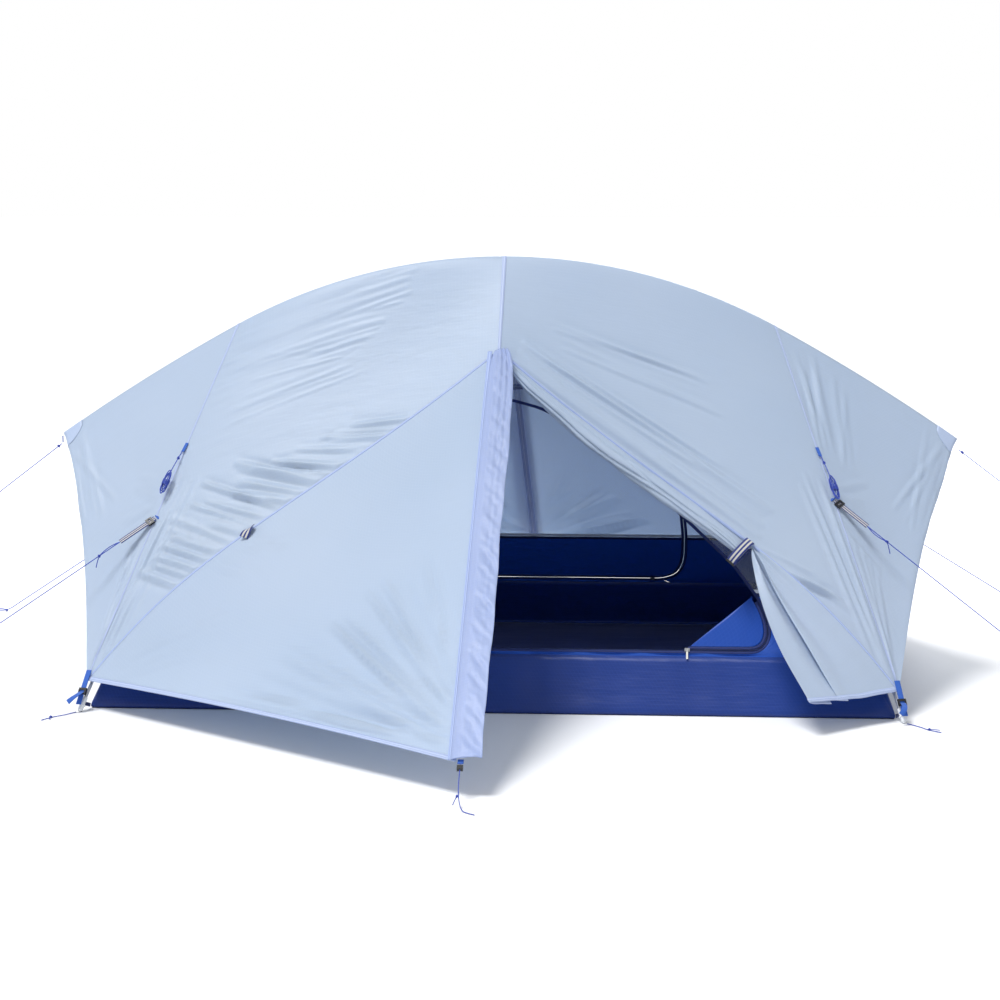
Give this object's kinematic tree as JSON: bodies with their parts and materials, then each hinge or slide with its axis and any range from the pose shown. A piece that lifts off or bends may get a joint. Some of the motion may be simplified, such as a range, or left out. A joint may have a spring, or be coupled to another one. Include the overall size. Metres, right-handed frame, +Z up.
{
  "type": "ridge-pole backpacking tent",
  "caption": "Free-standing two-person ridge-pole tent with pole-hung inner, bathtub floor, two zipped vestibules and taut guylines; front door part rolled open.",
  "frame": {"origin": "on the ground under the middle of the ridge pole", "axes": "+X along the ridge to the right seen from the front, -Y towards the open front door, +Z up"},
  "size_m": [3.332, 3.2258, 1.1338],
  "materials": {
    "fly_fabric": "coated ripstop nylon, pale ice blue, faint sheen",
    "fly_trim": "periwinkle coated nylon flap",
    "mesh_grey": "fine insect mesh",
    "wall_blue": "royal blue ripstop",
    "floor_navy": "navy coated floor cloth",
    "pole_alloy": "silver anodised tube",
    "elastic_cord": "elastic shock cord",
    "clear_plastic": "clear moulded tips",
    "black_plastic": "moulded acetal",
    "zip_tape": "coil zip tape",
    "slider_metal": "painted die casting",
    "pull_cream": "moulded cord pull",
    "webbing_blue": "flat woven webbing",
    "webbing_striped": "navy and cream reflective webbing",
    "cord_blue": "braided guy cord"
  },
  "bodies": {
    "tent": {"ridge_pole_centre": "pole_alloy", "ridge_pole_ends": "pole_alloy", "leg_poles": "pole_alloy", "shock_cords": "elastic_cord", "pole_ferrules": "pole_alloy", "pole_hubs": "black_plastic", "pole_foot_tips": "clear_plastic", "ridge_end_caps": "black_plastic", "inner_floor": "floor_navy", "inner_front_wall": "mesh_grey", "inner_rear_wall": "mesh_grey", "inner_end_left": "mesh_grey", "inner_end_right": "mesh_grey", "bathtub_walls": "floor_navy", "inner_rear_door": "mesh_grey", "inner_front_door": "wall_blue", "inner_front_zip": "zip_tape", "inner_rear_zip": "zip_tape", "fly_body_front_left": "fly_fabric", "fly_body_front_right": "fly_fabric", "fly_body_rear_left": "fly_fabric", "fly_body_rear_right": "fly_fabric", "fly_end_left": "fly_fabric", "fly_end_right": "fly_fabric", "storm_flap_front": "fly_trim", "fly_front_zip": "zip_tape", "storm_flap_rear": "fly_trim", "fly_rear_zip": "zip_tape", "fly_door_front_left": "fly_fabric", "fly_door_rear_left": "fly_fabric", "fly_door_rear_right": "fly_fabric", "fly_door_front_right": "fly_fabric", "pole_clips": "black_plastic", "corner_straps": "webbing_blue", "floor_straps": "webbing_blue", "guy_tabs": "webbing_blue", "guy_straps": "webbing_striped", "guylines": "cord_blue", "spare_cords": "cord_blue", "stake_cords": "cord_blue", "tieback_bands": "webbing_striped"},
    "inner_front_slider": {"inner_front_slider": "slider_metal"},
    "inner_front_pull": {"inner_front_pull": "pull_cream"},
    "inner_rear_slider": {"inner_rear_slider": "slider_metal"},
    "inner_rear_pull": {"inner_rear_pull": "pull_cream"},
    "fly_front_slider": {"fly_front_slider": "slider_metal"},
    "fly_front_pull": {"fly_front_pull": "pull_cream"},
    "fly_rear_slider": {"fly_rear_slider": "slider_metal"},
    "fly_rear_pull": {"fly_rear_pull": "pull_cream"},
    "ladder_lock_front_left": {"ladder_lock_front_left": "black_plastic"},
    "guy_adjuster_front_left": {"guy_adjuster_front_left": "black_plastic"},
    "ladder_lock_front_right": {"ladder_lock_front_right": "black_plastic"},
    "guy_adjuster_front_right": {"guy_adjuster_front_right": "black_plastic"},
    "ladder_lock_rear_left": {"ladder_lock_rear_left": "black_plastic"},
    "guy_adjuster_rear_left": {"guy_adjuster_rear_left": "black_plastic"},
    "ladder_lock_rear_right": {"ladder_lock_rear_right": "black_plastic"},
    "guy_adjuster_rear_right": {"guy_adjuster_rear_right": "black_plastic"},
    "line_lock_front": {"line_lock_front": "black_plastic"},
    "line_lock_rear": {"line_lock_rear": "black_plastic"},
    "tieback_toggle": {"tieback_toggle": "black_plastic"}
  },
  "joints": [
    {"name": "inner_front_zip_slide", "type": "slide", "parent": "tent", "child": "inner_front_slider", "axis": [-1, 0, 0], "range_m": [-0.11, 0.9]},
    {"name": "inner_front_pull_swing", "type": "hinge", "parent": "inner_front_slider", "child": "inner_front_pull", "pos_m": [0.50536, -0.53183, 0.15698], "axis": [-1, 0, 0], "range_deg": [0, 150]},
    {"name": "inner_rear_zip_slide", "type": "slide", "parent": "tent", "child": "inner_rear_slider", "axis": [-1, 0, 0], "range_m": [-0.02, 1.02]},
    {"name": "inner_rear_pull_swing", "type": "hinge", "parent": "inner_rear_slider", "child": "inner_rear_pull", "pos_m": [0.40028, 0.53183, 0.15698], "axis": [1, 0, 0], "range_deg": [0, 150]},
    {"name": "fly_front_zip_slide", "type": "slide", "parent": "tent", "child": "fly_front_slider", "axis": [0, -0.8327, -0.5538], "range_m": [-0.03, 1.36]},
    {"name": "fly_front_pull_swing", "type": "hinge", "parent": "fly_front_slider", "child": "fly_front_pull", "pos_m": [0, -0.26861, 0.85917], "axis": [1, 0, 0], "range_deg": [-50, 50]},
    {"name": "fly_rear_zip_slide", "type": "slide", "parent": "tent", "child": "fly_rear_slider", "axis": [0, -0.8327, 0.5538], "range_m": [-0.01, 1.36]},
    {"name": "fly_rear_pull_swing", "type": "hinge", "parent": "fly_rear_slider", "child": "fly_rear_pull", "pos_m": [0, 1.4137, 0.09765], "axis": [-1, 0, 0], "range_deg": [-50, 50]},
    {"name": "ladder_lock_slide_front_left", "type": "slide", "parent": "tent", "child": "ladder_lock_front_left", "axis": [-0.1868, -0.5611, -0.8064], "range_m": [-0.02, 0.02]},
    {"name": "guy_adjuster_slide_front_left", "type": "slide", "parent": "tent", "child": "guy_adjuster_front_left", "axis": [-0.7672, -0.3844, -0.5134], "range_m": [-0.004, 0.078]},
    {"name": "ladder_lock_slide_front_right", "type": "slide", "parent": "tent", "child": "ladder_lock_front_right", "axis": [0.1868, -0.5611, -0.8064], "range_m": [-0.02, 0.02]},
    {"name": "guy_adjuster_slide_front_right", "type": "slide", "parent": "tent", "child": "guy_adjuster_front_right", "axis": [0.7389, -0.4025, -0.5404], "range_m": [-0.004, 0.078]},
    {"name": "ladder_lock_slide_rear_left", "type": "slide", "parent": "tent", "child": "ladder_lock_rear_left", "axis": [-0.1868, 0.5611, -0.8064], "range_m": [-0.02, 0.02]},
    {"name": "guy_adjuster_slide_rear_left", "type": "slide", "parent": "tent", "child": "guy_adjuster_rear_left", "axis": [-0.7672, 0.3844, -0.5134], "range_m": [-0.004, 0.078]},
    {"name": "ladder_lock_slide_rear_right", "type": "slide", "parent": "tent", "child": "ladder_lock_rear_right", "axis": [0.1868, 0.5611, -0.8064], "range_m": [-0.02, 0.02]},
    {"name": "guy_adjuster_slide_rear_right", "type": "slide", "parent": "tent", "child": "guy_adjuster_rear_right", "axis": [0.7672, 0.3844, -0.5134], "range_m": [-0.004, 0.078]},
    {"name": "line_lock_slide_front", "type": "slide", "parent": "tent", "child": "line_lock_front", "axis": [0, -0.8874, -0.4611], "range_m": [0, 0.055]},
    {"name": "line_lock_slide_rear", "type": "slide", "parent": "tent", "child": "line_lock_rear", "axis": [0, 0.8874, -0.4611], "range_m": [0, 0.055]},
    {"name": "tieback_toggle_turn", "type": "hinge", "parent": "tent", "child": "tieback_toggle", "pos_m": [0.61328, -0.49455, 0.37828], "axis": [-0.521, -0.8123, -0.2621], "range_deg": [0, 90]}
  ]
}
